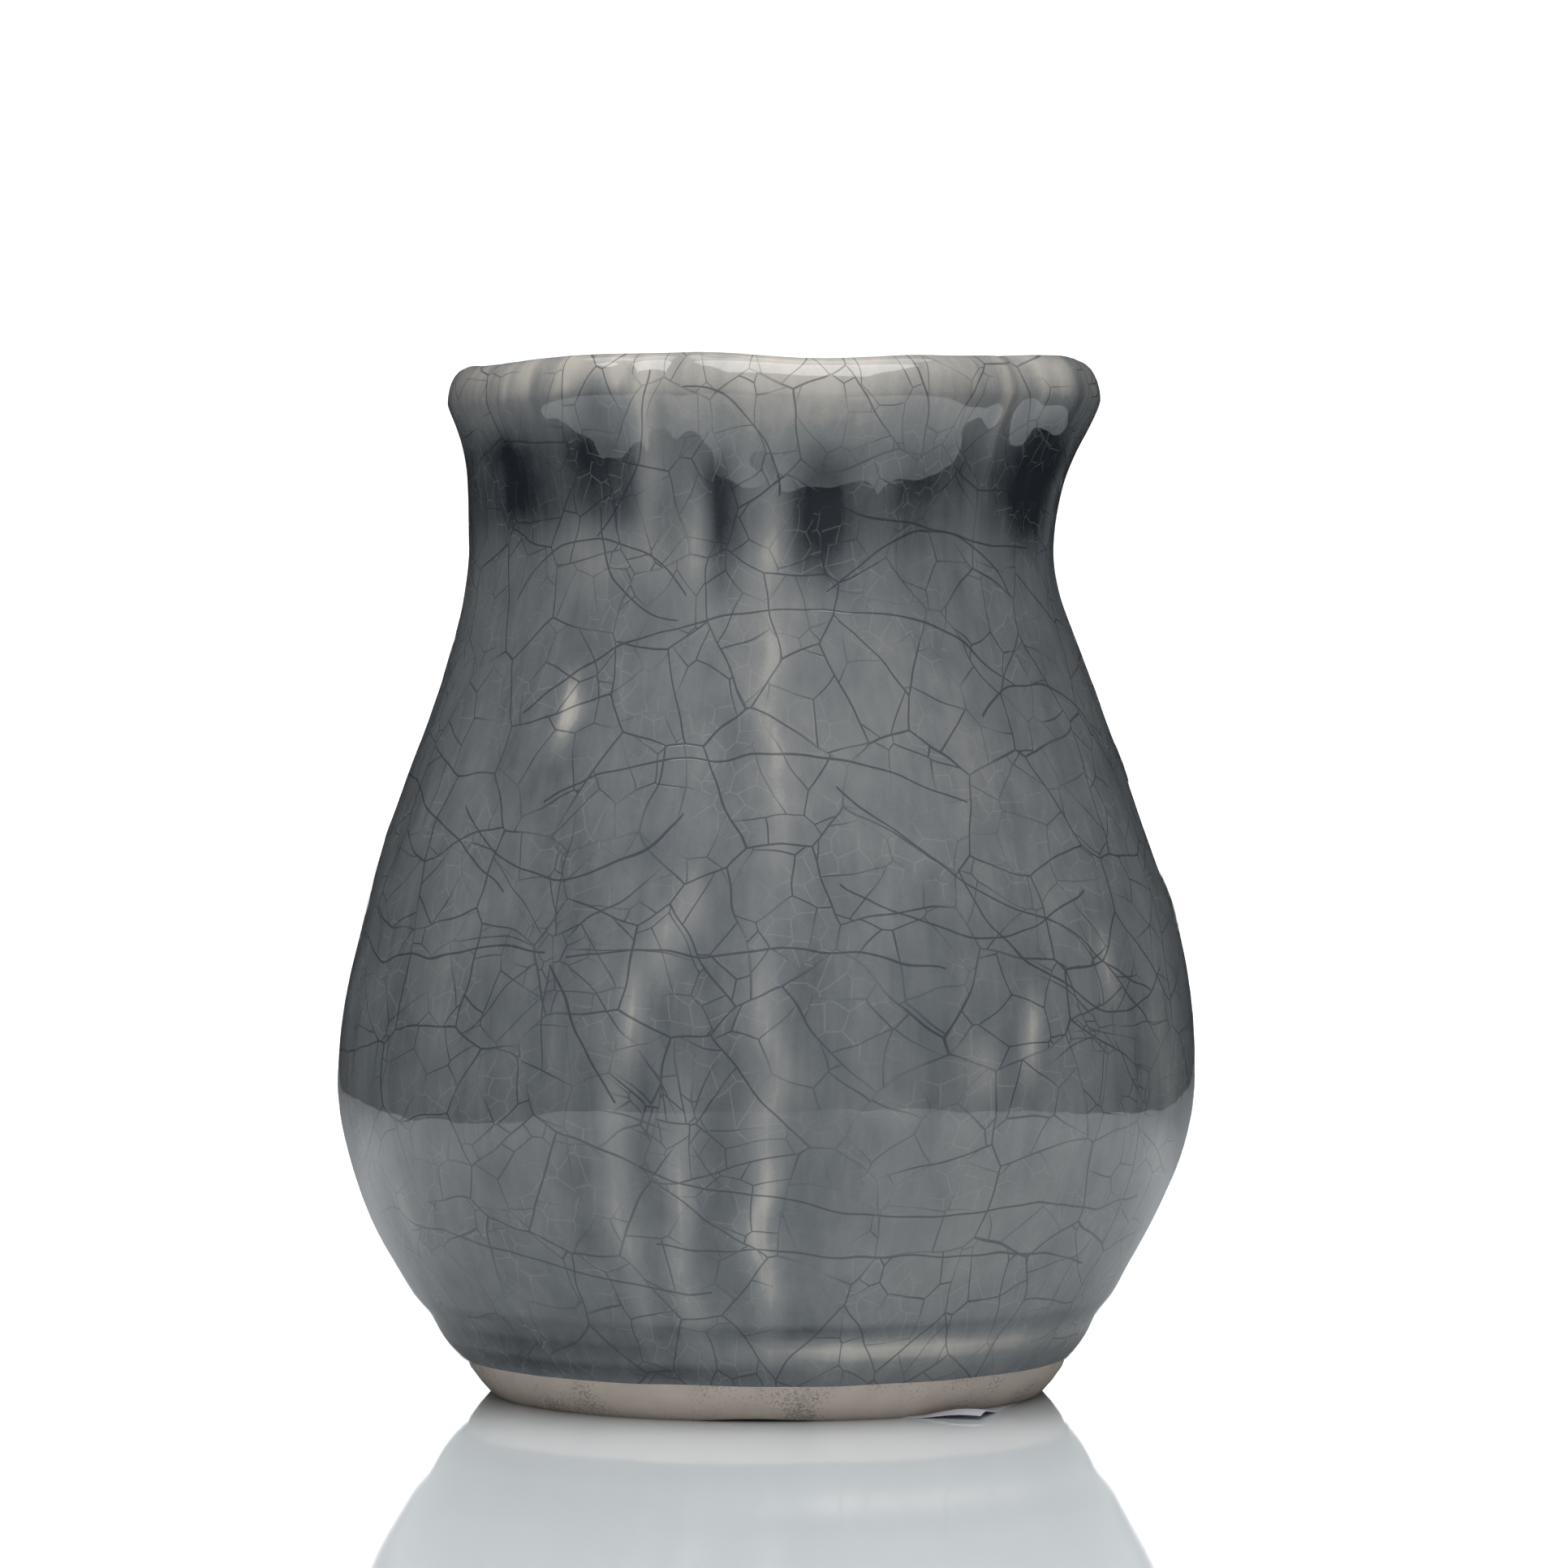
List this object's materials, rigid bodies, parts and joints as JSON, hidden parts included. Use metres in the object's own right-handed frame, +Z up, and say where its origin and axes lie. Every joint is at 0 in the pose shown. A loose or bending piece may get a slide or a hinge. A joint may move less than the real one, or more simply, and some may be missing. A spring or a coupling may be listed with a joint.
{
  "type": "stoneware vase",
  "caption": "Wheel-thrown stoneware vase with a full belly, drawn-in neck and lobed flared mouth, in blue-grey crackle glaze over a bare clay foot",
  "frame": {"origin": "centre of the bottom of the overall box, on the surface that the foot rests on", "axes": "+Z up along the axis the pot was thrown on, -Y towards the front of the pot, +X to its right"},
  "size_m": [0.106, 0.106, 0.1274],
  "materials": {
    "stoneware": "bare fired buff clay, matt",
    "crackle_glaze": "glossy blue-grey glaze with a crackle",
    "lining_glaze": "glossy blue-grey glaze with a crackle",
    "label_paper": "blank white paper"
  },
  "bodies": {
    "root": {"stoneware_body": "stoneware", "outer_glaze": "crackle_glaze", "lining_glaze": "lining_glaze", "base_label": "label_paper"}
  },
  "joints": []
}
